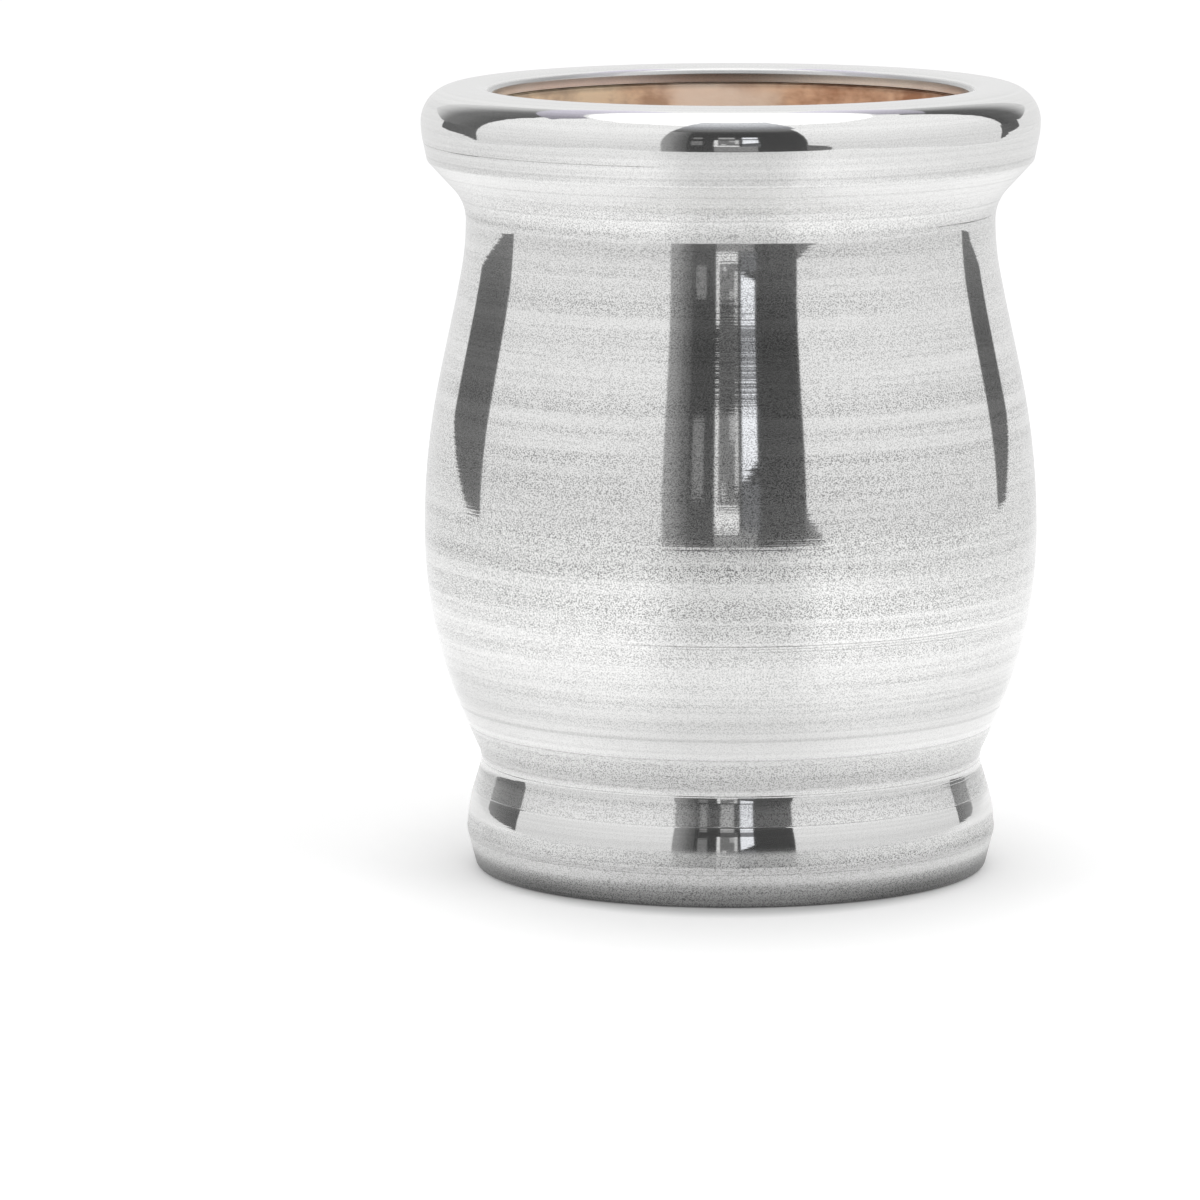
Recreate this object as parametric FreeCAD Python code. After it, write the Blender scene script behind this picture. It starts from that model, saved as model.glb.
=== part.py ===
import FreeCAD, Part
import math
import os

# Aluminium-clad wooden mate cup. Millimetres, +Z up.
# The origin is at the centre of the flat base, on the surface that the cup stands on.
# Two pieces: a jacket, spun from one aluminium sheet over the turned wood cup that lines it.

# Driving dimensions of the jacket's outside. Its corners are where two straight flanks would meet.
# Each rise is the height of a corner above the corner below it. The waist has the one radius that is
# set by itself, and every other radius is a step from it or from a neighbour. A bend rounds a corner.

# foot
foot_height = 4.95
foot_swell = 2.11
foot_bend = 2.6
base_edge_step = 1.3
base_edge_bend = 1.0
brow_rise = 3.69
brow_step = 0.37
brow_bend = 17.3

# waist, the crease between foot and barrel
waist_rise = 5.73
waist_radius = 31.66
waist_bend = 3.85

# barrel, whose two long arcs meet at its widest height
barrel_swell = 7.36
barrel_low_rise = 15.97
barrel_widest_rise = 13.16
barrel_high_rise = 10.31
shoulder_rise = 18.79
shoulder_step = 4.06
shoulder_bend = 2.0

# neck, a short straight land between the barrel and the flare
neck_rise = 7.42
neck_step = 1.31
neck_land = 5.3
neck_bend = 6.0

# rolled rim
lip_rise = 5.28
lip_flare = 4.83
lip_bend = 0.9
rim_side_rise = 3.75
rim_step = 0.77
rim_side_bend = 9.3
rim_top_rise = 5.65
rim_bend = 4.5
crest_step = 1.2
crest_bend = 3.6
mouth_drop = 1.0
mouth_setback = 0.3

# sheet and fit
sheet_thickness = 1.1
fit_clearance = 0.15

# wood cup
wood_wall = 2.5
wood_floor = 12.9
bore_taper = 3.5
bore_floor_bend = 15.0

# Heights that follow, from the base up
brow_height = foot_height + brow_rise
waist_height = brow_height + waist_rise
barrel_low_height = waist_height + barrel_low_rise
barrel_widest_height = barrel_low_height + barrel_widest_rise
barrel_high_height = barrel_widest_height + barrel_high_rise
shoulder_height = barrel_high_height + shoulder_rise
neck_low_height = shoulder_height + neck_rise
neck_high_height = neck_low_height + neck_land
lip_height = neck_high_height + lip_rise
rim_side_height = lip_height + rim_side_rise
cup_height = rim_side_height + rim_top_rise
bore_floor_height = sheet_thickness + wood_floor

# Radii that follow, from the waist out
foot_radius = waist_radius + foot_swell
base_edge_radius = foot_radius - base_edge_step
brow_radius = foot_radius - brow_step
barrel_radius = waist_radius + barrel_swell
shoulder_radius = barrel_radius - shoulder_step
neck_radius = shoulder_radius - neck_step
lip_radius = neck_radius + lip_flare
rim_radius = lip_radius + rim_step
bore_mouth_radius = neck_radius - sheet_thickness - fit_clearance - wood_wall
bore_floor_radius = bore_mouth_radius - bore_taper
mouth_radius = bore_mouth_radius + mouth_setback
crest_radius = mouth_radius + crest_step

# a flank shorter than this is no edge of its own
shortest_edge = 1e-6


def point(radius, height):
    """A point of the half section, which is drawn in the XZ plane."""
    return FreeCAD.Vector(radius, 0, height)


def bend_points(before, corner, after, bend):
    """Start, middle and end of the arc that rounds a corner of the section."""
    back = (before - corner).normalize()
    ahead = (after - corner).normalize()
    half_opening = back.getAngle(ahead) / 2
    tangent_length = bend / math.tan(half_opening)
    centre_distance = bend / math.sin(half_opening)
    to_centre = (back + ahead).normalize()
    start = corner + back * tangent_length
    middle = corner + to_centre * (centre_distance - bend)
    end = corner + ahead * tangent_length
    return start, middle, end


def bend_for_length(before, corner, after, tangent_length):
    """Radius of the arc that rounds a corner and takes the given length of each flank."""
    half_opening = (before - corner).getAngle(after - corner) / 2
    return tangent_length * math.tan(half_opening)


def length_for_bend(before, corner, after, bend):
    """Length that the arc of the given radius takes of each flank at a corner."""
    half_opening = (before - corner).getAngle(after - corner) / 2
    return bend / math.tan(half_opening)


def bends_within_flanks(points, bends):
    """The bends, each eased where it and its neighbour would need more than the flank between them."""
    count = len(points)
    lengths = []
    for index in range(count):
        before = points[index - 1]
        after = points[(index + 1) % count]
        lengths.append(length_for_bend(before, points[index], after, bends[index]))
    room = []
    for index in range(count):
        flank = points[index - 1].distanceToPoint(points[index])
        needed = lengths[index - 1] + lengths[index]
        room.append(min(1.0, flank / max(needed, flank)))
    return [bends[index] * min(room[index], room[(index + 1) % count]) for index in range(count)]


def rounded_face(corners):
    """A face bounded by straight flanks, with the given bend at each (radius, height, bend) corner."""
    points = [point(radius, height) for radius, height, bend in corners]
    bends = bends_within_flanks(points, [bend for radius, height, bend in corners])
    edges = []
    stops = []
    for index, corner in enumerate(points):
        if bends[index] == 0:
            stops.append((corner, corner))
            continue
        before = points[index - 1]
        after = points[(index + 1) % len(points)]
        start, middle, end = bend_points(before, corner, after, bends[index])
        edges.append(Part.Arc(start, middle, end).toShape())
        stops.append((start, end))
    for index in range(len(stops)):
        flank_start = stops[index - 1][1]
        flank_end = stops[index][0]
        if flank_start.distanceToPoint(flank_end) > shortest_edge:
            edges.append(Part.LineSegment(flank_start, flank_end).toShape())
    return Part.Face(Part.Wire(Part.__sortEdges__(edges)))


def outline_corners(base_height):
    """Corners of the jacket's outside, from the base edge up and over the rim to the mouth."""
    barrel_low_bend = bend_for_length(
        point(waist_radius, waist_height),
        point(barrel_radius, barrel_low_height),
        point(barrel_radius, barrel_high_height),
        barrel_widest_height - barrel_low_height,
    )
    barrel_high_bend = bend_for_length(
        point(barrel_radius, barrel_low_height),
        point(barrel_radius, barrel_high_height),
        point(shoulder_radius, shoulder_height),
        barrel_high_height - barrel_widest_height,
    )
    return [
        (base_edge_radius, base_height, base_edge_bend),
        (foot_radius, foot_height, foot_bend),
        (brow_radius, brow_height, brow_bend),
        (waist_radius, waist_height, waist_bend),
        (barrel_radius, barrel_low_height, barrel_low_bend),
        (barrel_radius, barrel_high_height, barrel_high_bend),
        (shoulder_radius, shoulder_height, shoulder_bend),
        (neck_radius, neck_low_height, neck_bend),
        (neck_radius, neck_high_height, neck_bend),
        (lip_radius, lip_height, lip_bend),
        (rim_radius, rim_side_height, rim_side_bend),
        (rim_radius, cup_height, rim_bend),
        (crest_radius, cup_height, crest_bend),
        (mouth_radius, cup_height - mouth_drop, 0),
    ]


def half_plane():
    """Everything on the positive side of the axis, as one face larger than the cup."""
    reach = rim_radius + cup_height
    return rounded_face([
        (0, -reach, 0),
        (reach, -reach, 0),
        (reach, cup_height + reach, 0),
        (0, cup_height + reach, 0),
    ])


def filled_section(inset, base_height):
    """Half section of the whole cup, filled, with every side set in by the inset."""
    right = outline_corners(base_height)
    left = [(-radius, height, bend) for radius, height, bend in reversed(right)]
    face = rounded_face(right + left)
    if inset > 0:
        face = face.makeOffset2D(-inset)
    return face.common(half_plane())


def spin(section):
    """The solid that a half section sweeps in one turn round the axis."""
    return section.Faces[0].revolve(point(0, 0), FreeCAD.Vector(0, 0, 1), 360)


def aluminium_jacket():
    """One sheet of even thickness: base, foot, barrel, flare and rolled rim, cut square at the mouth."""
    outside = filled_section(0, 0)
    inside = filled_section(sheet_thickness, 0)
    mid_height = cup_height / 2
    opening = rounded_face([
        (0, mid_height, 0),
        (mouth_radius, mid_height, 0),
        (mouth_radius, cup_height, 0),
        (0, cup_height, 0),
    ])
    return spin(outside.cut(inside).cut(opening))


def wood_cup():
    """Turned liner that fills the jacket, seated on its base, with a tapered bore and a rounded floor."""
    body = filled_section(sheet_thickness + fit_clearance, -fit_clearance)
    bore = rounded_face([
        (-bore_floor_radius, bore_floor_height, bore_floor_bend),
        (bore_floor_radius, bore_floor_height, bore_floor_bend),
        (bore_mouth_radius, cup_height, 0),
        (-bore_mouth_radius, cup_height, 0),
    ])
    return spin(body.cut(bore))


def main():
    os.makedirs("parts", exist_ok=True)
    pieces = {
        "aluminium_jacket": aluminium_jacket(),
        "wood_cup": wood_cup(),
    }
    for node, shape in pieces.items():
        shape.exportStep("parts/" + node + ".step")
        print(node, shape.ShapeType, "valid", shape.isValid(), "volume", round(shape.Volume, 1))


main()
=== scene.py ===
"""Dresses the mate cup: an aluminium jacket spun over a turned wood cup, on a plain pale floor."""

import logging
import math
from dataclasses import dataclass, field
from enum import Enum

import bmesh
import bpy
from mathutils import Matrix, Vector


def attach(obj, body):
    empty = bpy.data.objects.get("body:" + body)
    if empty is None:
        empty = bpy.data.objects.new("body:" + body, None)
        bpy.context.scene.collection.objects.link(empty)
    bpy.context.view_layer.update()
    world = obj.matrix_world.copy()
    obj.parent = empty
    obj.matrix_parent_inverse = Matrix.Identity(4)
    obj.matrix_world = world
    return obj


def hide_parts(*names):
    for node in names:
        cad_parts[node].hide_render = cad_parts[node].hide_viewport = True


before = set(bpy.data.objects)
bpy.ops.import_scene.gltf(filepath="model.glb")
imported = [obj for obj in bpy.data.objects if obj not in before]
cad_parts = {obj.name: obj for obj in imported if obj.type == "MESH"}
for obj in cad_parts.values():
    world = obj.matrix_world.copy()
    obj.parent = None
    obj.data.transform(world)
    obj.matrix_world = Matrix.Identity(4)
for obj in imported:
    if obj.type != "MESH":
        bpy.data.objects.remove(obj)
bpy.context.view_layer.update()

logging.basicConfig(level=logging.INFO, format="%(message)s")
log = logging.getLogger("mate_cup")

MM = 0.001
LEFT_TURN_AXIS = (0.0, -1.0, 0.0)
SHORTEST_FLANK = 1e-7
SHARP_EDGE = math.radians(30)
CUP_HEIGHT = 100.0
FULL_TURN = 2 * math.pi

Triple = tuple[float, float, float]
Colour = Triple


class Slot(Enum):
    """Material slots of the record."""

    ALUMINIUM = "aluminium"
    WOOD = "wood"


@dataclass(frozen=True)
class Corner:
    """A corner of a turned section: where two straight flanks meet, and the bend that rounds it."""

    radius: float
    height: float
    bend: float = 0.0

    def at(self) -> Vector:
        """The corner in the XZ plane, in metres."""
        return Vector((self.radius * MM, 0.0, self.height * MM))


def turn_between(ahead: Vector, onward: Vector) -> float:
    """Angle from one flank to the next.

    Args:
        ahead: Unit direction of the flank that reaches the corner.
        onward: Unit direction of the flank that leaves it.

    Returns:
        The turn in radians, positive to the left.
    """
    cross = ahead.x * onward.z - ahead.z * onward.x
    return math.atan2(cross, ahead.dot(onward))


def left_of(direction: Vector) -> Vector:
    """The unit vector a quarter turn to the left, in the XZ plane."""
    return Vector((-direction.z, 0.0, direction.x))


def inset_run(corners: list[Corner], depth: float) -> list[Corner]:
    """Sets a run of flanks in to its left, as the far face of a sheet follows the near one.

    Args:
        corners: The run, in order.
        depth: How far each flank moves, in millimetres.

    Returns:
        The corners of the inner run, with each bend tighter or wider by the depth.
    """
    points = [corner.at() for corner in corners]
    inner = []
    for index, corner in enumerate(corners):
        before = points[index] - points[index - 1] if index else points[1] - points[0]
        after = points[index + 1] - points[index] if index < len(points) - 1 else before
        ahead, onward = before.normalized(), after.normalized()
        sides = left_of(ahead) + left_of(onward)
        shift = sides * (depth * MM / (1 + ahead.dot(onward)))
        bend = corner.bend - depth if turn_between(ahead, onward) > 0 else corner.bend + depth
        place = (points[index] + shift) / MM
        inner.append(Corner(place.x, place.z, max(bend, 0.0)))
    return inner


def as_mesh(name: str, draft: bmesh.types.BMesh) -> bpy.types.Mesh:
    """Turns a draft into a mesh, and frees the draft.

    Args:
        name: Name of the mesh.
        draft: The faces as drawn.

    Returns:
        The mesh.
    """
    mesh = bpy.data.meshes.new(name)
    draft.to_mesh(mesh)
    draft.free()
    return mesh


def placed(name: str, data: bpy.types.ID) -> bpy.types.Object:
    """Adds an object to the scene.

    Args:
        name: Name of the object.
        data: Its mesh, lamp or lens.

    Returns:
        The object, at the origin.
    """
    item = bpy.data.objects.new(name, data)
    bpy.context.scene.collection.objects.link(item)
    return item


class TurnedSection:
    """A half section, drawn by a travelling vertex and then spun once round the axis."""

    def __init__(self, start: Corner) -> None:
        """Places the vertex at the first corner.

        Args:
            start: The section's first corner.
        """
        self.mesh = bmesh.new()
        self.tip = self.mesh.verts.new(start.at())
        self.place = start

    def flank(self, to: Vector) -> None:
        """Draws a straight flank to a place, unless the vertex is already there.

        Args:
            to: The flank's end, in metres.
        """
        if (to - self.tip.co).length < SHORTEST_FLANK:
            return
        self.tip = bmesh.ops.extrude_vert_indiv(self.mesh, verts=[self.tip])["verts"][0]
        self.tip.co = to

    def bend(self, centre: Vector, turn: float, step: float) -> None:
        """Spins the vertex round a bend's centre.

        Args:
            centre: Centre of the bend, in metres.
            turn: Angle of the bend in radians, positive to the left.
            step: Widest angle of one facet, in degrees.
        """
        steps = max(1, math.ceil(abs(turn) / math.radians(step)))
        spun = bmesh.ops.spin(
            self.mesh, geom=[self.tip], cent=centre, axis=LEFT_TURN_AXIS, angle=turn, steps=steps
        )
        self.tip = [item for item in spun["geom_last"] if isinstance(item, bmesh.types.BMVert)][0]

    def run(self, corners: list[Corner], step: float) -> None:
        """Draws flanks and bends through a list of corners, and stops at the last one.

        Args:
            corners: The corners after the present place, in order.
            step: Widest angle of one facet of a bend, in degrees.
        """
        chain = [self.place, *corners]
        for before, corner, after in zip(chain, chain[1:], chain[2:]):
            ahead = (corner.at() - before.at()).normalized()
            onward = (after.at() - corner.at()).normalized()
            turn = turn_between(ahead, onward)
            if corner.bend == 0:
                self.flank(corner.at())
                continue
            start = corner.at() - ahead * (corner.bend * MM * math.tan(abs(turn) / 2))
            centre = start + left_of(ahead) * math.copysign(corner.bend * MM, turn)
            self.flank(start)
            self.bend(centre, turn, step)
        self.flank(chain[-1].at())
        self.place = chain[-1]

    def spin(self, name: str, segments: int, material: bpy.types.Material) -> bpy.types.Object:
        """Spins the section into a closed piece.

        Args:
            name: Name of the piece.
            segments: Number of facets round the axis.
            material: Finish of the whole piece.

        Returns:
            The finished object, at the origin.
        """
        bmesh.ops.spin(
            self.mesh,
            geom=self.mesh.verts[:] + self.mesh.edges[:],
            cent=(0.0, 0.0, 0.0),
            axis=(0.0, 0.0, 1.0),
            angle=FULL_TURN,
            steps=segments,
            use_merge=True,
        )
        bmesh.ops.remove_doubles(self.mesh, verts=self.mesh.verts[:], dist=SHORTEST_FLANK)
        bmesh.ops.recalc_face_normals(self.mesh, faces=self.mesh.faces[:])
        mesh = as_mesh(name, self.mesh)
        mesh.shade_smooth()
        mesh.set_sharp_from_angle(angle=SHARP_EDGE)
        mesh.materials.append(material)
        return placed(name, mesh)


Value = float | bpy.types.NodeSocket


class Paint:
    """A material's nodes, with a short method for each kind of step."""

    def __init__(self, name: str) -> None:
        """Starts an empty material with an output node.

        Args:
            name: Name of the material.
        """
        self.material = bpy.data.materials.new(name)
        self.material.use_nodes = True
        self.tree = self.material.node_tree
        self.tree.nodes.clear()
        self.output = self.node("ShaderNodeOutputMaterial")

    def node(
        self, kind: str, inputs: dict[str | int, object] | None = None, **settings: object
    ) -> bpy.types.Node:
        """Adds a node.

        Args:
            kind: The node's type name.
            inputs: Names or numbers of its inputs, each with a value or with a socket to link.
            **settings: Its properties and their values.

        Returns:
            The node.
        """
        node = self.tree.nodes.new(kind)
        for name, value in settings.items():
            setattr(node, name, value)
        for name, value in (inputs or {}).items():
            self.feed(node.inputs[name], value)
        return node

    def feed(self, socket: bpy.types.NodeSocket, value: object) -> None:
        """Links a socket to another, or sets its value."""
        if isinstance(value, bpy.types.NodeSocket):
            self.tree.links.new(value, socket)
        else:
            socket.default_value = value

    def sum(self, operation: str, *values: Value, clamp: bool = False) -> bpy.types.NodeSocket:
        """A Math node.

        Args:
            operation: Name of the operation, such as "MULTIPLY".
            *values: Its inputs, as numbers or sockets.
            clamp: Whether the result is kept between 0 and 1.

        Returns:
            The result's socket.
        """
        node = self.node("ShaderNodeMath", dict(enumerate(values)), operation=operation, use_clamp=clamp)
        return node.outputs[0]

    def ease(
        self, value: Value, low: float, high: float, start: float = 0.0, end: float = 1.0
    ) -> bpy.types.NodeSocket:
        """Eases a value from one range to another.

        Args:
            value: The number that drives the change.
            low: Where the change begins.
            high: Where it ends.
            start: Result at and below the low end.
            end: Result at and above the high end.

        Returns:
            The result's socket.
        """
        ends = {"Value": value, "From Min": low, "From Max": high, "To Min": start, "To Max": end}
        return self.node("ShaderNodeMapRange", ends, interpolation_type="SMOOTHSTEP").outputs["Result"]

    def band(self, value: Value, low: float, high: float, soft: float) -> bpy.types.NodeSocket:
        """A mask that is 1 between two numbers and fades out on either side.

        Args:
            value: The number that is tested.
            low: Lower end of the band.
            high: Upper end of the band.
            soft: Half the width of each fade.

        Returns:
            The mask's socket.
        """
        rising = self.ease(value, low - soft, low + soft)
        falling = self.ease(value, high - soft, high + soft, 1.0, 0.0)
        return self.sum("MULTIPLY", rising, falling)

    def noise(
        self, place: bpy.types.NodeSocket, scale: Triple, detail: float, rough: float = 0.5
    ) -> bpy.types.NodeSocket:
        """A noise field.

        Args:
            place: Coordinates in metres.
            scale: Cells to the metre along each axis.
            detail: Number of finer layers.
            rough: Strength of the finer layers.

        Returns:
            The field's socket, about 0 to 1.
        """
        mapping = self.node("ShaderNodeMapping", {"Vector": place, "Scale": scale})
        cells = {"Vector": mapping.outputs["Vector"], "Scale": 1.0, "Detail": detail, "Roughness": rough}
        return self.node("ShaderNodeTexNoise", cells).outputs["Fac"]

    def ramp(self, value: Value, stops: list[tuple[float, Colour]]) -> bpy.types.NodeSocket:
        """A Color Ramp.

        Args:
            value: The number that picks the colour.
            stops: Each stop's place, from 0 to 1, and its colour.

        Returns:
            The colour's socket.
        """
        node = self.node("ShaderNodeValToRGB", {"Fac": value})
        elements = node.color_ramp.elements
        while len(elements) < len(stops):
            elements.new(1.0)
        for element, (place, colour) in zip(elements, stops):
            element.position = place
            element.color = (*colour, 1.0)
        return node.outputs["Color"]

    def blend(self, factor: Value, first: object, second: object, mode: str = "MIX") -> bpy.types.NodeSocket:
        """Mixes two colours.

        Args:
            factor: Share of the second colour.
            first: A colour, or a socket that gives one.
            second: A colour, or a socket that gives one.
            mode: Blend mode, such as "MULTIPLY".

        Returns:
            The mixed colour's socket.
        """
        node = self.node("ShaderNodeMix", data_type="RGBA", blend_type=mode)
        colours = [socket for socket in node.inputs if socket.type == "RGBA"]
        self.feed(node.inputs["Factor"], factor)
        for socket, value in zip(colours, (first, second)):
            self.feed(socket, value if isinstance(value, bpy.types.NodeSocket) else (*value, 1.0))
        return [socket for socket in node.outputs if socket.type == "RGBA"][0]

    def finish(self, shader: bpy.types.NodeSocket) -> bpy.types.Material:
        """Links the surface and returns the material."""
        self.feed(self.output.inputs["Surface"], shader)
        return self.material


class CupPlace:
    """Where a point lies round the cup's axis, for the nodes of one material."""

    def __init__(self, paint: Paint) -> None:
        """Reads the piece's own coordinates, in metres to the right, to the back and up.

        Args:
            paint: The material under work.
        """
        self.paint = paint
        self.point = paint.node("ShaderNodeTexCoord").outputs["Object"]
        self.right, self.back, self.up = paint.node("ShaderNodeSeparateXYZ", {0: self.point}).outputs

    def height(self) -> bpy.types.NodeSocket:
        """Height above the base, in millimetres."""
        return self.paint.sum("MULTIPLY", self.up, 1000.0)

    def azimuth(self) -> bpy.types.NodeSocket:
        """Degrees from the front towards the right."""
        toward = self.paint.sum("MULTIPLY", self.back, -1.0)
        return self.paint.sum("MULTIPLY", self.paint.sum("ARCTAN2", self.right, toward), 180.0 / math.pi)

    def radius(self, stretch: float = 1.0) -> bpy.types.NodeSocket:
        """Distance from the axis.

        Args:
            stretch: How much more the way to the side counts. Above 1 it makes a round mark narrower.

        Returns:
            The distance's socket, in metres.
        """
        shares = {0: self.point, 1: (stretch, 1.0, 0.0)}
        flat = self.paint.node("ShaderNodeVectorMath", shares, operation="MULTIPLY")
        reach = self.paint.node("ShaderNodeVectorMath", {0: flat.outputs["Vector"]}, operation="LENGTH")
        return reach.outputs["Value"]


@dataclass(frozen=True)
class Ring:
    """A line that the spinning tool left round the cup, in millimetres and degrees from the front."""

    height: float
    width: float
    depth: float
    azimuths: tuple[float, float] = (-181.0, 181.0)


@dataclass(frozen=True)
class Belt:
    """The jacket's surface at one height: how pitted, how hazy and how bright it is. The brightness is partly
    the metal's own and partly painted shade and light.
    """

    height: float
    pits: float
    haze: float
    tone: float = 1.0


@dataclass(frozen=True)
class SpunAluminium:
    """Bare aluminium: mirror-bright under fine pits, with belts, streaks and rings from spinning, and with
    painted shade and light in the belts' tones, at the base and on the cut edge at the mouth.

    A grain is a noise field's number of cells to the metre, across, to the back and up. A contrast is
    where in that field a mark begins and ends.
    """

    colour: Colour = (0.90, 0.90, 0.893)
    mirror_roughness: float = 0.042
    pit_roughness: float = 0.03
    haze_roughness: float = 0.42
    pit_grain: Triple = (5600.0, 5600.0, 7400.0)
    pit_contrast: tuple[float, float] = (0.38, 0.54)
    pit_depth: float = 0.80
    streak_grain: Triple = (3.0, 3.0, 420.0)
    streak_contrast: tuple[float, float] = (0.36, 0.64)
    fading_grain: Triple = (30.0, 30.0, 90.0)
    fading_contrast: tuple[float, float] = (0.32, 0.68)
    fading_share: float = 0.4
    streak_pits: float = 0.4
    streak_depth: float = 0.035
    line_grain: Triple = (4.0, 4.0, 2600.0)
    line_contrast: tuple[float, float] = (0.35, 0.65)
    line_depth: float = 0.03
    ring_depth: float = 0.35
    ring_haze: float = 0.3
    ring_fade: float = 4.0
    relief: float = 0.000005
    ring_relief: float = 6.0
    streak_relief: float = 0.2
    # Each belt's last number, its tone, is partly the metal's own and partly painted shade and light: the low
    # tones of the lowest belts are painted shade.
    belts: tuple[Belt, ...] = (
        Belt(0.0, 0.70, 0.50, 0.36),
        Belt(1.4, 0.70, 0.50, 0.42),
        Belt(2.2, 0.65, 0.50, 0.56),
        Belt(3.0, 0.60, 0.45, 0.78),
        Belt(4.2, 0.45, 0.35, 0.92),
        Belt(4.9, 0.45, 0.35, 0.70),
        Belt(5.5, 0.60, 0.78, 0.84),
        Belt(6.9, 0.60, 0.80, 0.94),
        Belt(7.5, 0.10, 0.04, 0.91),
        Belt(10.1, 0.08, 0.04, 0.95),
        Belt(10.5, 0.50, 0.26, 1.06),
        Belt(11.9, 0.52, 0.26, 1.00),
        Belt(12.8, 0.52, 0.24, 0.85),
        Belt(13.4, 0.20, 0.08, 0.94),
        Belt(14.4, 0.25, 0.12, 0.86),
        Belt(14.9, 0.65, 0.50, 0.71),
        Belt(15.6, 0.65, 0.50, 0.82),
        Belt(18.2, 0.62, 0.50, 0.94),
        Belt(19.0, 0.15, 0.10, 1.00),
        Belt(21.6, 0.18, 0.10, 0.89),
        Belt(24.0, 0.38, 0.14, 0.85),
        Belt(30.0, 0.42, 0.12, 1.00),
        Belt(39.0, 0.66, 0.12, 1.02),
        Belt(47.0, 0.70, 0.15, 1.07),
        Belt(58.0, 0.56, 0.13, 1.07),
        Belt(70.0, 0.44, 0.06, 1.05),
        Belt(80.0, 0.48, 0.17, 1.05),
        Belt(84.5, 0.52, 0.20, 0.97),
        Belt(88.5, 0.30, 0.12, 0.93),
        Belt(93.3, 0.20, 0.08, 0.96),
        Belt(95.0, 0.16, 0.05, 1.00),
        Belt(100.0, 0.06, 0.03, 0.95),
    )
    rings: tuple[Ring, ...] = (
        Ring(93.0, 0.12, 0.8, (-84.0, -14.0)),
        Ring(91.4, 0.3, 0.18),
        Ring(89.0, 0.2, 0.2),
        Ring(85.9, 0.22, 0.25),
        Ring(84.05, 0.14, 0.9, (50.0, 74.0)),
        Ring(33.8, 0.10, 0.7, (-20.0, 54.0)),
        Ring(33.45, 0.10, 0.5, (-12.0, 62.0)),
        Ring(33.1, 0.10, 0.5, (5.0, 50.0)),
        Ring(21.4, 0.3, 0.3),
        Ring(18.75, 0.15, 0.4),
        Ring(14.05, 0.12, 0.4),
        Ring(13.2, 0.08, 0.6, (16.0, 84.0)),
        Ring(12.8, 0.08, 0.5, (24.0, 78.0)),
        Ring(10.3, 0.12, 0.4),
        Ring(10.33, 0.12, 0.6, (16.0, 36.0)),
        Ring(4.35, 0.15, 0.35),
    )
    foot_sides: tuple[float, float] = (54.0, 74.0)
    foot_top: tuple[float, float] = (12.0, 15.0)
    foot_haze: float = 0.5
    # Painted light and shade at the base: where it changes round the cup and up it, and its levels at the
    # front and at the sides.
    base_sides: tuple[float, float] = (12.0, 48.0)
    base_top: tuple[float, float] = (1.2, 3.0)
    base_light_and_shade: tuple[float, float] = (1.18, 0.72)
    # The cut edge at the mouth: where it lies, its haze, and its painted light and shade from side to side
    # and towards the crest.
    mouth_edge: tuple[float, float] = (0.0305, 0.0310)
    mouth_haze: float = 0.75
    mouth_sides: tuple[float, float] = (0.002, 0.020)
    mouth_light_and_shade: tuple[float, float] = (0.66, 1.16)
    crest: tuple[float, float] = (98.1, 98.8)
    crest_shade: float = 0.62

    def ring_mask(
        self, paint: Paint, ring: Ring, height: bpy.types.NodeSocket, azimuth: bpy.types.NodeSocket
    ) -> bpy.types.NodeSocket:
        """How strongly one ring marks each place.

        Args:
            paint: The material under work.
            ring: The ring.
            height: Height above the base, in millimetres.
            azimuth: Degrees from the front towards the right.

        Returns:
            A mask from 0 to the ring's depth.
        """
        away = paint.sum("ABSOLUTE", paint.sum("SUBTRACT", height, ring.height))
        line = paint.ease(away, 0.0, ring.width, ring.depth, 0.0)
        if ring.azimuths[1] - ring.azimuths[0] > 360.0:
            return line
        return paint.sum("MULTIPLY", line, paint.band(azimuth, *ring.azimuths, self.ring_fade))

    def belts_at(self, paint: Paint, height: bpy.types.NodeSocket) -> list[bpy.types.NodeSocket]:
        """How the belts change the metal with height.

        Args:
            paint: The material under work.
            height: Height above the base, in millimetres.

        Returns:
            Sockets of how pitted, how hazy and how bright it is.
        """
        stops = [(belt.height / CUP_HEIGHT, (belt.pits, belt.haze, belt.tone)) for belt in self.belts]
        levels = paint.ramp(paint.sum("MULTIPLY", height, 1.0 / CUP_HEIGHT), stops)
        return list(paint.node("ShaderNodeSeparateColor", {"Color": levels}).outputs)

    def edge_light_and_shade(self, paint: Paint, place: CupPlace, height: bpy.types.NodeSocket) -> bpy.types.NodeSocket:
        """Painted light and shade on the cut edge: darker at the front and back, lighter at the sides, and
        darker towards the crest.
        """
        aside = paint.ease(paint.sum("ABSOLUTE", place.right), *self.mouth_sides, *self.mouth_light_and_shade)
        return paint.sum("MULTIPLY", aside, paint.ease(height, *self.crest, 1.0, self.crest_shade))

    def base_shade(
        self, paint: Paint, height: bpy.types.NodeSocket, around: bpy.types.NodeSocket
    ) -> bpy.types.NodeSocket:
        """Painted light and shade on the lowest few millimetres, for the shaded floor that they mirror:
        lighter at the front and darker towards the sides.

        Args:
            paint: The material under work.
            height: Height above the base, in millimetres.
            around: Degrees from the front, to either side.

        Returns:
            A factor's socket, 1 above the base.
        """
        sides = paint.sum("SUBTRACT", paint.ease(around, *self.base_sides, *self.base_light_and_shade), 1.0)
        low = paint.ease(height, *self.base_top, 1.0, 0.0)
        return paint.sum("ADD", paint.sum("MULTIPLY", low, sides), 1.0)

    def material(self) -> bpy.types.Material:
        """Builds the finish.

        Returns:
            The material of the jacket.
        """
        paint = Paint("spun_aluminium")
        place = CupPlace(paint)
        height, azimuth = place.height(), place.azimuth()
        around = paint.sum("ABSOLUTE", azimuth)
        edge = paint.ease(place.radius(), *self.mouth_edge, 1.0, 0.0)

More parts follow.
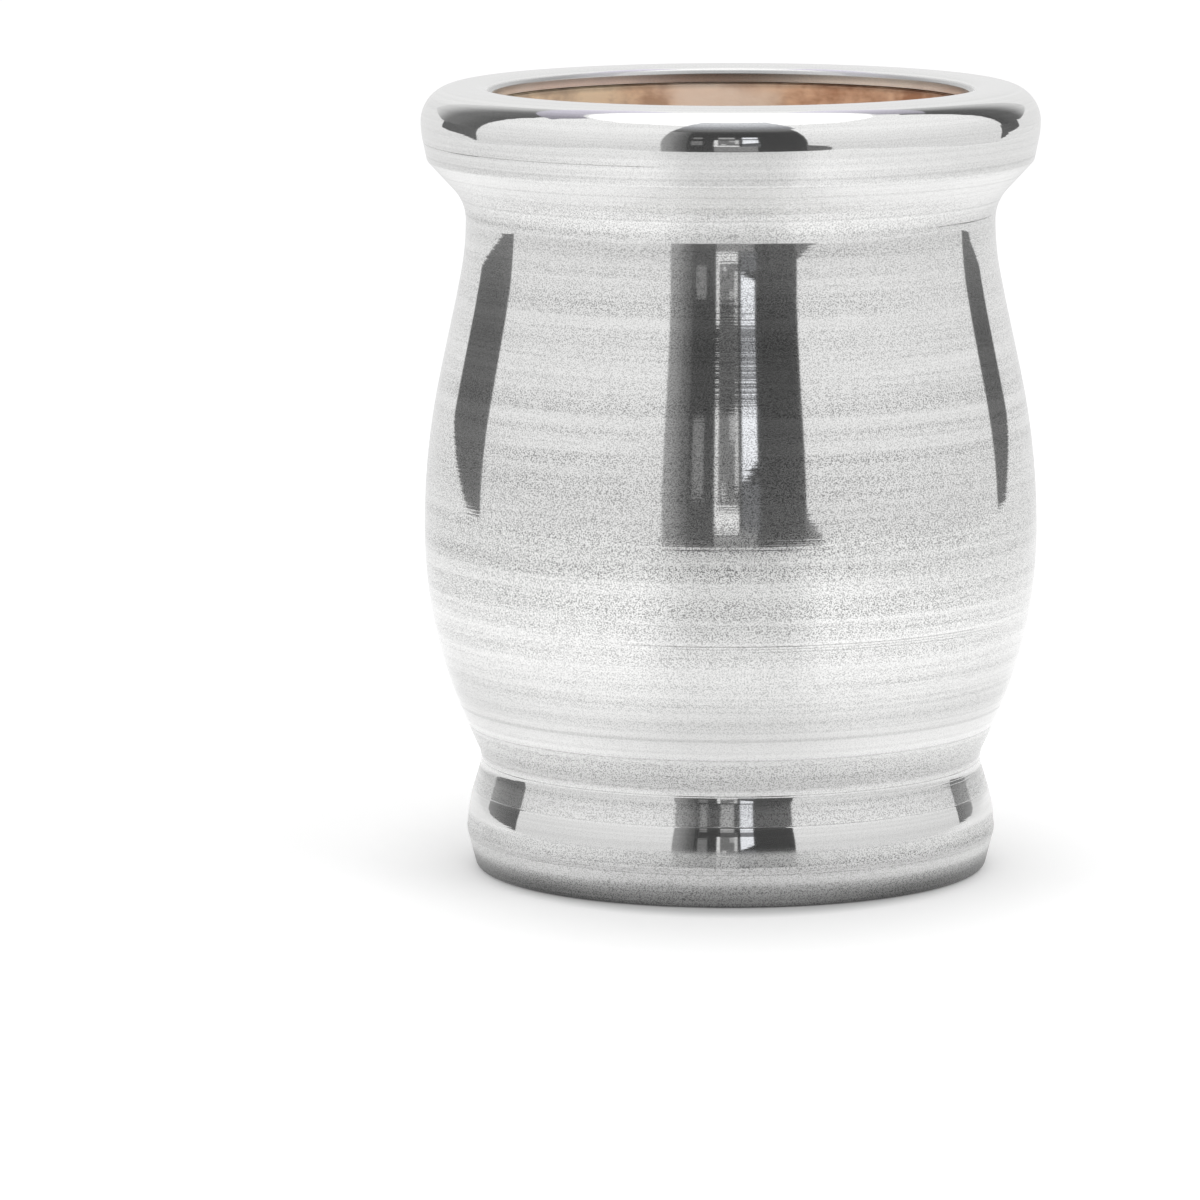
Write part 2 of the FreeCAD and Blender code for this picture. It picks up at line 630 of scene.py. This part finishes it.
        fading = paint.noise(place.point, self.fading_grain, 2.0)
        fading = paint.ease(fading, *self.fading_contrast, -1.0, 1.0)
        fading = paint.sum("MULTIPLY_ADD", fading, self.fading_share, 1.0 - self.fading_share)
        bands = paint.noise(place.point, self.streak_grain, 4.0, 0.6)
        bands = paint.ease(bands, *self.streak_contrast, -1.0, 1.0)
        streaks = paint.sum("MULTIPLY", bands, fading)
        lines = paint.noise(place.point, self.line_grain, 2.0)
        stipple = paint.noise(place.point, self.pit_grain, 1.0)
        # The belts' tone carries painted shade and light as well as the metal's own brightness.
        pits, haze, tone = self.belts_at(paint, height)
        pits = paint.sum("MULTIPLY", pits, paint.sum("MULTIPLY_ADD", streaks, self.streak_pits, 1.0))
        dark = paint.sum("MULTIPLY", paint.ease(stipple, *self.pit_contrast, 1.0, 0.0), pits)

        marks: Value = 0.0
        for ring in self.rings:
            marks = paint.sum("ADD", marks, self.ring_mask(paint, ring, height, azimuth))

        tone = paint.sum("MULTIPLY", tone, paint.sum("MULTIPLY_ADD", dark, -self.pit_depth, 1.0))
        line_tone = paint.ease(lines, *self.line_contrast, -self.line_depth, self.line_depth)
        tone = paint.sum("ADD", tone, line_tone)
        tone = paint.sum("MULTIPLY_ADD", streaks, -self.streak_depth, tone)
        tone = paint.sum("MULTIPLY_ADD", marks, -self.ring_depth, tone)
        # Painted light and shade on the lowest few millimetres.
        tone = paint.sum("MULTIPLY", tone, self.base_shade(paint, height, around))
        # Painted light and shade on the cut edge at the mouth.
        cut = paint.sum("SUBTRACT", self.edge_light_and_shade(paint, place, height), 1.0)
        tone = paint.sum("MULTIPLY_ADD", edge, cut, tone)
        colour = paint.blend(1.0, self.colour, tone, "MULTIPLY")

        relief = paint.sum("MULTIPLY_ADD", marks, -self.ring_relief, lines)
        relief = paint.sum("MULTIPLY_ADD", bands, self.streak_relief, relief)
        bump = paint.node("ShaderNodeBump", {"Strength": 1.0, "Distance": self.relief, "Height": relief})

        metal = {"Base Color": colour, "Metallic": 1.0, "Normal": bump.outputs["Normal"]}
        rough = paint.sum("MULTIPLY_ADD", pits, self.pit_roughness, self.mirror_roughness)
        mirror = paint.node("ShaderNodeBsdfPrincipled", {**metal, "Roughness": rough})
        softened = paint.node("ShaderNodeBsdfPrincipled", {**metal, "Roughness": self.haze_roughness})
        sides = paint.ease(around, *self.foot_sides, 0.0, self.foot_haze)
        sides = paint.sum("MULTIPLY", sides, paint.ease(height, *self.foot_top, 1.0, 0.0))
        haze = paint.sum("ADD", haze, sides)
        haze = paint.sum("MULTIPLY_ADD", marks, self.ring_haze, haze)
        haze = paint.sum("MULTIPLY_ADD", edge, self.mouth_haze, haze, clamp=True)
        both = {"Fac": haze, 1: mirror.outputs["BSDF"], 2: softened.outputs["BSDF"]}
        return paint.finish(paint.node("ShaderNodeMixShader", both).outputs["Shader"])


@dataclass(frozen=True)
class TurnedWood:
    """Bare wood, mottled from tan to orange brown, with a pale patch and a painted shade along the edge under
    the metal.

    Each pair of colours runs from the grain's dark to its light. A grain and a contrast are as on the
    metal. A zone is where a change begins and ends, in metres along one of the cup's axes.
    """

    tan: tuple[Colour, Colour] = ((0.66, 0.52, 0.38), (0.95, 0.78, 0.56))
    tan_contrast: tuple[float, float] = (0.40, 0.58)
    orange: tuple[Colour, Colour] = ((0.50, 0.25, 0.14), (0.90, 0.60, 0.40))
    orange_contrast: tuple[float, float] = (0.40, 0.60)
    pale: Colour = (1.0, 0.84, 0.70)
    pale_contrast: tuple[float, float] = (0.28, 1.42)
    patch_share: float = 0.5
    blotch_grain: Triple = (190.0, 190.0, 240.0)
    patch_grain: Triple = (90.0, 90.0, 120.0)
    fibre_grain: Triple = (420.0, 420.0, 900.0)
    fibre_share: float = 0.30
    orange_zone: tuple[float, float] = (0.006, 0.036)
    orange_wander: float = 0.05
    pale_zone: tuple[float, float] = (0.004, 0.013)
    pale_wander: float = 0.02
    pale_margin: float = 0.005
    pale_back: tuple[float, float] = (0.0, 0.015)
    pale_heights: tuple[float, float] = (0.070, 0.090)
    # Painted shade along the wood's top edge under the metal: where it begins and ends, and how dark it gets.
    rim_zone: tuple[float, float] = (0.0969, 0.0977)
    rim_shade_level: float = 0.55
    roughness: float = 0.62
    gloss: float = 0.3
    relief: float = 0.0002
    relief_strength: float = 0.4

    def paleness(
        self, paint: Paint, place: CupPlace, blotches: bpy.types.NodeSocket, patches: bpy.types.NodeSocket
    ) -> bpy.types.NodeSocket:
        """How pale each place is: the light blotches, and the patch at the back of the mouth.

        Args:
            paint: The material under work.
            place: Where a point lies.
            blotches: The field of the blotches.
            patches: The field of the wider patches.

        Returns:
            The share of the pale colour.
        """
        light = paint.sum("SUBTRACT", blotches, paint.sum("MULTIPLY", patches, self.patch_share))
        across = paint.sum("MULTIPLY_ADD", patches, self.pale_wander, place.right)
        sapwood = paint.band(across, *self.pale_zone, self.pale_margin)
        sapwood = paint.sum("MULTIPLY", sapwood, paint.ease(place.back, *self.pale_back))
        sapwood = paint.sum("MULTIPLY", sapwood, paint.ease(place.up, *self.pale_heights))
        return paint.ease(paint.sum("ADD", light, sapwood), *self.pale_contrast)

    def material(self) -> bpy.types.Material:
        """Builds the finish.

        Returns:
            The material of the wood cup.
        """
        paint = Paint("turned_wood")
        place = CupPlace(paint)
        blotches = paint.noise(place.point, self.blotch_grain, 3.0, 0.55)
        patches = paint.noise(place.point, self.patch_grain, 2.0)
        fibres = paint.noise(place.point, self.fibre_grain, 3.0, 0.6)
        blotch_part = paint.sum("MULTIPLY", blotches, 1.0 - self.fibre_share)
        share = paint.sum("MULTIPLY_ADD", fibres, self.fibre_share, blotch_part)
        tan = paint.ramp(share, list(zip(self.tan_contrast, self.tan)))
        orange = paint.ramp(share, list(zip(self.orange_contrast, self.orange)))
        side = paint.sum("MULTIPLY_ADD", patches, self.orange_wander, place.right)
        colour = paint.blend(paint.ease(side, *self.orange_zone), tan, orange)
        colour = paint.blend(self.paleness(paint, place, blotches, patches), colour, self.pale)
        # Painted shade along the top edge of the wood, under the metal.
        rim = paint.ease(place.up, *self.rim_zone, 1.0, self.rim_shade_level)
        colour = paint.blend(1.0, colour, rim, "MULTIPLY")
        relief = {"Strength": self.relief_strength, "Distance": self.relief, "Height": fibres}
        surface = {
            "Base Color": colour,
            "Roughness": self.roughness,
            "Specular IOR Level": self.gloss,
            "Normal": paint.node("ShaderNodeBump", relief).outputs["Normal"],
        }
        return paint.finish(paint.node("ShaderNodeBsdfPrincipled", surface).outputs["BSDF"])


@dataclass
class Outline:
    """The cup's outside in millimetres, from the base edge over the rim to the mouth."""

    base_edge: Corner = Corner(32.47, 0.0, 1.0)
    foot: Corner = Corner(33.77, 4.95, 2.6)
    brow: Corner = Corner(33.4, 8.64, 17.3)
    waist: Corner = Corner(31.66, 14.37, 3.85)
    barrel_radius: float = 39.02
    barrel_low: float = 30.34
    barrel_widest: float = 43.5
    barrel_high: float = 53.81
    shoulder: Corner = Corner(34.96, 72.6, 2.0)
    neck_low: Corner = Corner(33.6, 79.4, 36.0)
    neck_high: Corner = Corner(33.58, 85.32, 6.0)
    lip: Corner = Corner(38.48, 90.6, 0.9)
    rim_side: Corner = Corner(39.25, 94.35, 9.3)
    rim_top: Corner = Corner(39.25, 100.0, 4.5)
    crest: Corner = Corner(31.4, 100.0, 3.6)
    mouth_radius: float = 30.2
    mouth_height: float = 99.0

    def barrel_corner(self, height: float, far: Corner) -> Corner:
        """A corner of the barrel, with the bend that makes its arc reach the widest height.

        Args:
            height: Height of the corner on the barrel's widest radius.
            far: The corner at the other end of its slanted flank.

        Returns:
            The corner with its bend.
        """
        length = abs(self.barrel_widest - height)
        slant = math.atan2(self.barrel_radius - far.radius, abs(far.height - height))
        return Corner(self.barrel_radius, height, length / math.tan(slant / 2))

    def corners(self, drop: float = 0.0) -> list[Corner]:
        """The outside from the axis to the mouth's edge.

        Args:
            drop: How far the base lies below the floor of the outline.

        Returns:
            The corners in order.
        """
        base_edge = Corner(self.base_edge.radius, -drop, self.base_edge.bend)
        return [
            Corner(0.0, -drop),
            base_edge,
            self.foot,
            self.brow,
            self.waist,
            self.barrel_corner(self.barrel_low, self.waist),
            self.barrel_corner(self.barrel_high, self.shoulder),
            self.shoulder,
            self.neck_low,
            self.neck_high,
            self.lip,
            self.rim_side,
            self.rim_top,
            self.crest,
            Corner(self.mouth_radius, self.mouth_height),
        ]


@dataclass
class AluminiumJacket:
    """The jacket: one sheet from the base up over the rolled rim to the square edge at the mouth."""

    outline: Outline = field(default_factory=Outline)
    sheet: float = 1.1
    edge_bend: float = 0.12
    segments: int = 224
    facet: float = 2.0
    hidden_facet: float = 6.0

    def build(self, finish: SpunAluminium) -> bpy.types.Object:
        """Draws both faces of the sheet as one closed section and spins it.

        Args:
            finish: The metal's finish.

        Returns:
            The jacket.
        """
        outside = self.outline.corners()
        edge = self.outline.mouth_radius
        level = Corner(0.0, self.outline.mouth_height)
        inside = inset_run([*outside, level], self.sheet)[:-1]
        lower_edge = Corner(edge, self.outline.mouth_height - self.sheet)
        section = TurnedSection(outside[0])
        upper_edge = Corner(edge, self.outline.mouth_height, self.edge_bend)
        section.run([*outside[1:-1], upper_edge, lower_edge], self.facet)
        section.run(inside[::-1], self.hidden_facet)
        piece = section.spin("jacket", self.segments, finish.material())
        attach(piece, "root")
        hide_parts("aluminium_jacket")
        return piece


@dataclass
class WoodCup:
    """The turned wood that fills the jacket, with its tapered bore and rounded floor."""

    outline: Outline = field(default_factory=Outline)
    sheet: float = 1.1
    clearance: float = 0.15
    bore_mouth: float = 29.9
    bore_floor: Corner = Corner(26.4, 14.0, 15.0)
    bore_top: float = 100.0
    edge_bend: float = 0.35
    segments: int = 192
    facet: float = 3.0
    hidden_facet: float = 6.0

    def bore_edge(self, height: float) -> Corner:
        """Where the bore's slanted wall meets a level, with the edge's small rounding.

        Args:
            height: The level, in millimetres.

        Returns:
            The corner there.
        """
        share = (height - self.bore_floor.height) / (self.bore_top - self.bore_floor.height)
        radius = self.bore_floor.radius + share * (self.bore_mouth - self.bore_floor.radius)
        return Corner(radius, height, self.edge_bend)

    def build(self, finish: TurnedWood) -> bpy.types.Object:
        """Draws the outside and the bore as one closed section and spins it.

        Args:
            finish: The wood's finish.

        Returns:
            The wood cup.
        """
        outside = self.outline.corners(self.clearance)
        level = Corner(0.0, self.outline.mouth_height)
        depth = self.sheet + self.clearance
        fitted = inset_run([*outside, level], depth)[:-1]
        section = TurnedSection(fitted[0])
        edge = self.bore_edge(self.outline.mouth_height - depth)
        section.run([*fitted[1:], edge], self.hidden_facet)
        section.place = fitted[-1]
        section.run([edge, self.bore_floor, Corner(0.0, self.bore_floor.height)], self.facet)
        piece = section.spin("wood", self.segments, finish.material())
        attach(piece, "root")
        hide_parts("wood_cup")
        return piece


def grey(level: float) -> Colour:
    """A neutral colour."""
    return (level, level, level)


def blue_grey(level: float) -> Colour:
    """A grey with a little of the sky's blue."""
    return (level * 0.97, level * 0.99, level * 1.04)


def purple_grey(level: float) -> Colour:
    """A grey with a little purple."""
    return (level * 1.0, level * 0.96, level * 1.10)


FAR = 8.0
NEARER = 7.8
NEAREST = 7.6
CARD_FACET = 4.0


@dataclass(frozen=True)
class Card:
    """A lit or dark card of the studio, far off, that only the metal's reflections see.

    Azimuths are degrees from the front towards the right, and elevations are degrees above the floor.
    A card of one colour is plain. With a top colour it changes upwards, and with an end colour it
    changes across. End elevations are those at its far side, for a card with slanted edges.
    """

    name: str
    azimuths: tuple[float, float]
    elevations: tuple[float, float]
    colour: Colour
    distance: float = FAR
    top: Colour | None = None
    end: Colour | None = None
    end_elevations: tuple[float, float] | None = None

    def place(self, across: float, up: float) -> Vector:
        """A point of the card.

        Args:
            across: Share of the way from the first side to the far side.
            up: Share of the way from the foot to the top.

        Returns:
            The point, in metres.
        """
        first, last = self.elevations, self.end_elevations or self.elevations
        low, high = (start + (end - start) * across for start, end in zip(first, last))
        azimuth = math.radians(self.azimuths[0] + (self.azimuths[1] - self.azimuths[0]) * across)
        elevation = math.radians(low + (high - low) * up)
        level, rise = self.distance * math.cos(elevation), self.distance * math.sin(elevation)
        return Vector((level * math.sin(azimuth), -level * math.cos(azimuth), rise))

    def mesh(self) -> bpy.types.Mesh:
        """Bends a grid into the card's part of a dome.

        Returns:
            The card's mesh.
        """
        card = bmesh.new()
        columns = max(1, math.ceil(abs(self.azimuths[1] - self.azimuths[0]) / CARD_FACET))
        rows = max(1, math.ceil((self.elevations[1] - self.elevations[0]) / CARD_FACET))
        bmesh.ops.create_grid(card, x_segments=columns, y_segments=rows, size=0.5)
        for vertex in card.verts:
            vertex.co = self.place(vertex.co.x + 0.5, vertex.co.y + 0.5)
        return as_mesh(self.name, card)

    def upwards(self, paint: Paint, place: CupPlace) -> bpy.types.NodeSocket:
        """Share of the way from the card's foot to its top."""
        foot, head = (self.distance * math.sin(math.radians(angle)) for angle in self.elevations)
        return paint.ease(place.up, foot, head)

    def onwards(self, paint: Paint, place: CupPlace) -> bpy.types.NodeSocket:
        """How far across the card a point lies.

        Args:
            paint: The material under work.
            place: Where the point lies.

        Returns:
            Its share of the way from the first side to the far side.
        """
        middle = math.radians(sum(self.azimuths) / 2)
        half = math.radians(abs(self.azimuths[1] - self.azimuths[0]) / 2)
        way = math.copysign(1.0, self.azimuths[1] - self.azimuths[0])
        ends = {0: place.point, 1: (way * math.cos(middle), way * math.sin(middle), 0.0)}
        along = paint.node("ShaderNodeVectorMath", ends, operation="DOT_PRODUCT")
        reach = self.distance * math.sin(half)
        return paint.ease(along.outputs["Value"], -reach, reach)

    def glow(self) -> bpy.types.Material:
        """A plain glow, or one that changes upwards or across.

        Returns:
            The card's material.
        """
        paint = Paint(self.name)
        colour: object = (*self.colour, 1.0)
        if self.top is not None:
            colour = paint.blend(self.upwards(paint, CupPlace(paint)), self.colour, self.top)
        if self.end is not None:
            colour = paint.blend(self.onwards(paint, CupPlace(paint)), self.colour, self.end)
        return paint.finish(paint.node("ShaderNodeEmission", {"Color": colour}).outputs["Emission"])

    def build(self) -> bpy.types.Object:
        """Hangs the card where only reflections see it.

        Returns:
            The card.
        """
        data = self.mesh()
        data.materials.append(self.glow())
        card = placed(self.name, data)
        card.visible_camera = False
        card.visible_diffuse = False
        card.visible_shadow = False
        card.visible_transmission = False
        card.visible_volume_scatter = False
        return card


@dataclass(frozen=True)
class Lamp:
    """A round soft lamp aimed at the cup: its place and size in metres, and its power in watts."""

    name: str
    place: Triple
    size: float
    power: float


@dataclass
class Studio:
    """Pale table, white surroundings, soft lamps and the cards that the metal mirrors.

    The contact and the shadow are where each painted shade round the cup begins and ends, in metres from the
    axis, and a stretch above 1 makes it narrower from side to side. Where the metal mirrors the table, it is
    painted darker far off, and in the gap between the two bright panels in front as a painted reflection of
    that gap.
    """

    table_left: float = -0.60
    table_right: float = 0.54
    table_front: float = -0.56
    table_back: float = 1.70
    table_colour: Colour = (0.93, 0.93, 0.93)
    table_lift: float = 0.30
    # Painted shade on the table round the cup: a narrow one at the contact and a wide one.
    contact: tuple[float, float] = (0.0335, 0.0400)
    contact_stretch: float = 1.18
    contact_shade: float = 0.60
    shadow: tuple[float, float] = (0.036, 0.082)
    shadow_stretch: float = 1.55
    shadow_shade: float = 0.83
    # Painted shade of the table as the metal mirrors it: far off, and in the gap in front.
    far_zone: tuple[float, float] = (0.08, 0.50)
    far_level: float = 0.78
    gap_azimuths: tuple[float, float] = (-22.0, 24.0)
    gap_margin: float = 11.0
    gap_zone: tuple[float, float] = (0.036, 0.13)
    gap_level: float = 0.24
    surround: float = 0.96
    mirrored: float = 1.0
    lens: float = 240.0
    sensor: float = 36.0
    camera_place: Triple = (0.0, -1.01125, 0.18163)
    look_down: float = 8.302
    axis_right: float = 130.5
    frame_pixels: float = 1200.0
    lamps: tuple[Lamp, ...] = (
        Lamp("key", (0.9, -0.7, 1.3), 0.9, 3.6),
        Lamp("fill", (-1.0, -0.5, 1.1), 0.9, 1.5),
    )
    cards: tuple[Card, ...] = (
        Card("panel_left", (-108.0, -25.5), (-14.0, 62.0), grey(0.76), 8.2, grey(1.0)),
        Card("panel_right", (28.3, 119.0), (-14.0, 62.0), grey(0.76), 8.2, grey(1.0)),
        Card("panel_back", (119.0, 252.0), (-14.0, 62.0), grey(0.82), 8.3, grey(0.92)),
        Card("overhead", (-180.0, 180.0), (61.0, 89.9), grey(1.4), 8.4),
        Card("gap", (-25.5, 28.3), (-14.0, 38.0), grey(0.052)),
        Card("gap_upper", (-25.5, 28.3), (38.0, 50.0), grey(0.06), FAR, grey(0.20)),
        Card("gap_head", (-25.0, 31.0), (50.0, 74.0), blue_grey(0.25), FAR, blue_grey(0.75)),
        Card("grey_left", (-25.5, -16.0), (-14.0, 42.0), grey(0.33), NEARER, None, grey(0.10)),
        Card("patch_left", (-14.4, -10.2), (3.0, 14.8), grey(0.20), NEARER),
        Card("patch_left_head", (-14.0, -10.6), (20.5, 25.0), grey(0.24), NEARER),
        Card("sliver", (-6.0, -4.6), (-1.0, 16.9), grey(0.80), NEARER),
        Card("table_front", (-6.0, 10.0), (-8.0, -1.8), grey(0.25), NEARER),
        Card("table_beyond", (-6.0, 3.2), (-1.8, 1.6), grey(0.86), NEARER),
        Card("middle", (-4.6, 3.2), (1.6, 16.0), grey(0.19), NEARER),
        Card("middle_head", (-4.6, 3.2), (17.0, 20.5), grey(0.12), NEARER),
        Card("glint", (-0.4, 1.7), (12.0, 15.6), grey(0.42), NEAREST),
        Card("glint_low", (-3.4, -1.8), (3.4, 5.4), grey(0.60), NEAREST),
        Card("edge_light", (1.7, 3.0), (5.0, 16.5), grey(0.62), NEAREST),
        Card("edge_light_head", (-4.6, 1.6), (20.5, 25.0), grey(0.42), NEARER),
        Card("window_knee", (4.4, 10.4), (5.8, 9.0), blue_grey(1.0), NEARER, None, None, (8.8, 9.0)),
        Card("window", (4.4, 10.2), (9.0, 16.8), blue_grey(1.0), NEARER),
        Card("window_bar", (4.4, 10.2), (16.9, 20.5), blue_grey(0.25), NEARER),
        Card("window_head", (4.4, 10.2), (20.5, 25.0), blue_grey(1.0), NEARER),
        Card("under_window", (4.2, 11.0), (-1.8, 5.6), blue_grey(0.14), NEARER),
        Card("panel_gap", (28.0, 37.5), (-14.0, 0.6), grey(0.15), NEARER, None, None, (-14.0, -5.2)),
        Card("strip_left", (-108.0, -134.5), (-6.4, 9.0), grey(0.11), FAR, None, None, (0.4, 9.0)),
        Card("strip_left_high", (-108.0, -131.0), (9.0, 56.0), grey(0.10), FAR, None, grey(0.18)),
        Card(
            "strip_left_fade", (-131.0, -152.0), (7.0, 56.0), grey(0.18), FAR, None, grey(0.74), (13.0, 56.0)
        ),
        Card("strip_right", (119.5, 134.5), (-7.4, 9.0), grey(0.10), FAR, None, None, (0.4, 9.0)),
        Card("strip_right_high", (121.0, 136.0), (9.0, 56.0), grey(0.07), FAR, None, grey(0.12)),
        Card(
            "strip_right_fade", (136.0, 154.0), (8.0, 56.0), grey(0.12), FAR, None, grey(0.70), (13.0, 56.0)
        ),
        Card("seam_left", (-100.0, -168.0), (50.0, 61.0), purple_grey(0.22), NEARER, None, purple_grey(0.92)),
        Card("seam_right", (126.0, 168.0), (50.0, 61.0), purple_grey(0.28), NEARER, None, purple_grey(0.92)),
        Card("seam_back", (168.0, 192.0), (50.0, 61.0), grey(0.97), NEARER),
    )

    def table_mesh(self) -> bpy.types.Mesh:
        """One flat face between the table's edges.

        Returns:
            The table's mesh.
        """
        mesh = bmesh.new()
        bmesh.ops.create_grid(mesh, x_segments=1, y_segments=1, size=0.5)
        size = (self.table_right - self.table_left, self.table_back - self.table_front, 1.0)
        centre = ((self.table_left + self.table_right) / 2, (self.table_front + self.table_back) / 2, 0.0)
        bmesh.ops.scale(mesh, verts=mesh.verts[:], vec=size)
        bmesh.ops.translate(mesh, verts=mesh.verts[:], vec=centre)
        return as_mesh("table", mesh)

    def mirrored_table_shade(
        self, paint: Paint, place: CupPlace, reach: bpy.types.NodeSocket
    ) -> bpy.types.NodeSocket:
        """Painted shade of the table where the metal mirrors it: darker far off, and darker in front as a
        painted reflection of the gap between the panels.

        Args:
            paint: The material under work.
            place: Where a point lies.
            reach: Its distance from the axis, in metres.

        Returns:
            The brightness, 1 at the cup.
        """
        far = paint.ease(reach, *self.far_zone, 1.0, self.far_level)
        ahead = paint.band(place.azimuth(), *self.gap_azimuths, self.gap_margin)
        ahead = paint.sum("MULTIPLY", ahead, self.gap_level)
        ahead = paint.sum("MULTIPLY", ahead, paint.ease(reach, *self.gap_zone))
        return paint.sum("MULTIPLY", far, paint.sum("SUBTRACT", 1.0, ahead))

    def table_finish(self) -> bpy.types.Material:
        """A plain pale surface that keeps the cup's real shade under a painted shade round the cup, and glows
        a little where it is seen.

        Returns:
            The table's material.
        """
        paint = Paint("pale_table")
        place = CupPlace(paint)
        path = paint.node("ShaderNodeLightPath")
        # Painted shade round the cup, in the table's colour and in its glow.
        reach = place.radius(self.shadow_stretch)
        near = paint.ease(place.radius(self.contact_stretch), *self.contact, self.contact_shade, 1.0)
        wide = paint.ease(reach, *self.shadow, self.shadow_shade, 1.0)
        shade = paint.sum("MULTIPLY", near, wide)
        # For the metal's reflections only, the table is painted darker far off and in front.
        mirrored = self.mirrored_table_shade(paint, place, reach)
        faded = paint.node("ShaderNodeMix", {0: path.outputs["Is Glossy Ray"], 2: 1.0, 3: mirrored})
        level = paint.sum("MULTIPLY", shade, faded.outputs[0])
        colour = paint.blend(level, grey(0.0), self.table_colour)
        diffuse = paint.node("ShaderNodeBsdfDiffuse", {"Color": colour})
        seen = paint.sum("MAXIMUM", path.outputs["Is Camera Ray"], path.outputs["Is Glossy Ray"])
        lift = paint.sum("MULTIPLY", paint.sum("MULTIPLY", seen, level), self.table_lift)
        glow = paint.node("ShaderNodeEmission", {"Strength": lift})
        both = {0: diffuse.outputs["BSDF"], 1: glow.outputs["Emission"]}
        return paint.finish(paint.node("ShaderNodeAddShader", both).outputs["Shader"])

    def floor(self) -> bpy.types.Object:
        """A pale table top, whose edges the metal mirrors.

        Returns:
            The table top.
        """
        data = self.table_mesh()
        data.materials.append(self.table_finish())
        table = placed("table", data)
        return table

    def world(self) -> None:
        """White surroundings: white behind the cup, and a plain level on everything else."""
        world = bpy.data.worlds.new("studio_white")
        bpy.context.scene.world = world
        world.use_nodes = True
        tree = world.node_tree
        tree.nodes.clear()
        path = tree.nodes.new("ShaderNodeLightPath")
        seen = tree.nodes.new("ShaderNodeMapRange")
        seen.inputs["To Min"].default_value = self.surround
        seen.inputs["To Max"].default_value = 1.0
        tree.links.new(path.outputs["Is Camera Ray"], seen.inputs["Value"])
        mirrored = tree.nodes.new("ShaderNodeMix")
        tree.links.new(path.outputs["Is Glossy Ray"], mirrored.inputs["Factor"])
        tree.links.new(seen.outputs["Result"], mirrored.inputs[2])
        mirrored.inputs[3].default_value = self.mirrored
        light = tree.nodes.new("ShaderNodeBackground")
        tree.links.new(mirrored.outputs[0], light.inputs["Strength"])
        output = tree.nodes.new("ShaderNodeOutputWorld")
        tree.links.new(light.outputs["Background"], output.inputs["Surface"])

    def hang(self, lamp: Lamp) -> None:
        """Hangs a lamp aimed at the cup, which the metal doesn't mirror.

        Args:
            lamp: The lamp.
        """
        light = bpy.data.lights.new(lamp.name, "AREA")
        light.shape = "DISK"
        light.size = lamp.size
        light.energy = lamp.power
        hung = placed(lamp.name, light)
        hung.location = lamp.place
        hung.rotation_euler = (-Vector(lamp.place)).to_track_quat("-Z", "Y").to_euler()
        hung.visible_glossy = False

    def camera(self) -> None:
        """The photograph's camera: a long lens, level, looking a little down into the mouth.

        The cup's axis stands right of the frame's middle by a number of the photograph's pixels, and
        the camera is turned aside by that much.
        """
        lens = bpy.data.cameras.new("camera")
        lens.sensor_width = self.sensor
        lens.lens = self.lens
        lens.clip_end = 20.0
        camera = placed("camera", lens)
        pitch = Matrix.Rotation(math.radians(90.0 - self.look_down), 4, "X")
        focal_pixels = self.lens / self.sensor * self.frame_pixels
        aside = Matrix.Rotation(math.atan(self.axis_right / focal_pixels), 4, "Y")
        camera.matrix_world = Matrix.Translation(self.camera_place) @ pitch @ aside
        bpy.context.scene.camera = camera

    def build(self) -> None:
        """Sets up the whole stage."""
        self.floor()
        self.world()
        for lamp in self.lamps:
            self.hang(lamp)
        for card in self.cards:
            card.build()
        self.camera()
        bpy.context.scene.view_settings.view_transform = "Standard"


def report(piece: bpy.types.Object) -> None:
    """Logs a finished piece and its number of triangles."""
    triangles = sum(len(face.vertices) - 2 for face in piece.data.polygons)
    log.info("%s: %d triangles", piece.name, triangles)


def main() -> None:
    """Builds the jacket, the wood cup and the studio."""
    report(AluminiumJacket().build(SpunAluminium()))
    report(WoodCup().build(TurnedWood()))
    Studio().build()


if __name__ == "__main__":
    main()
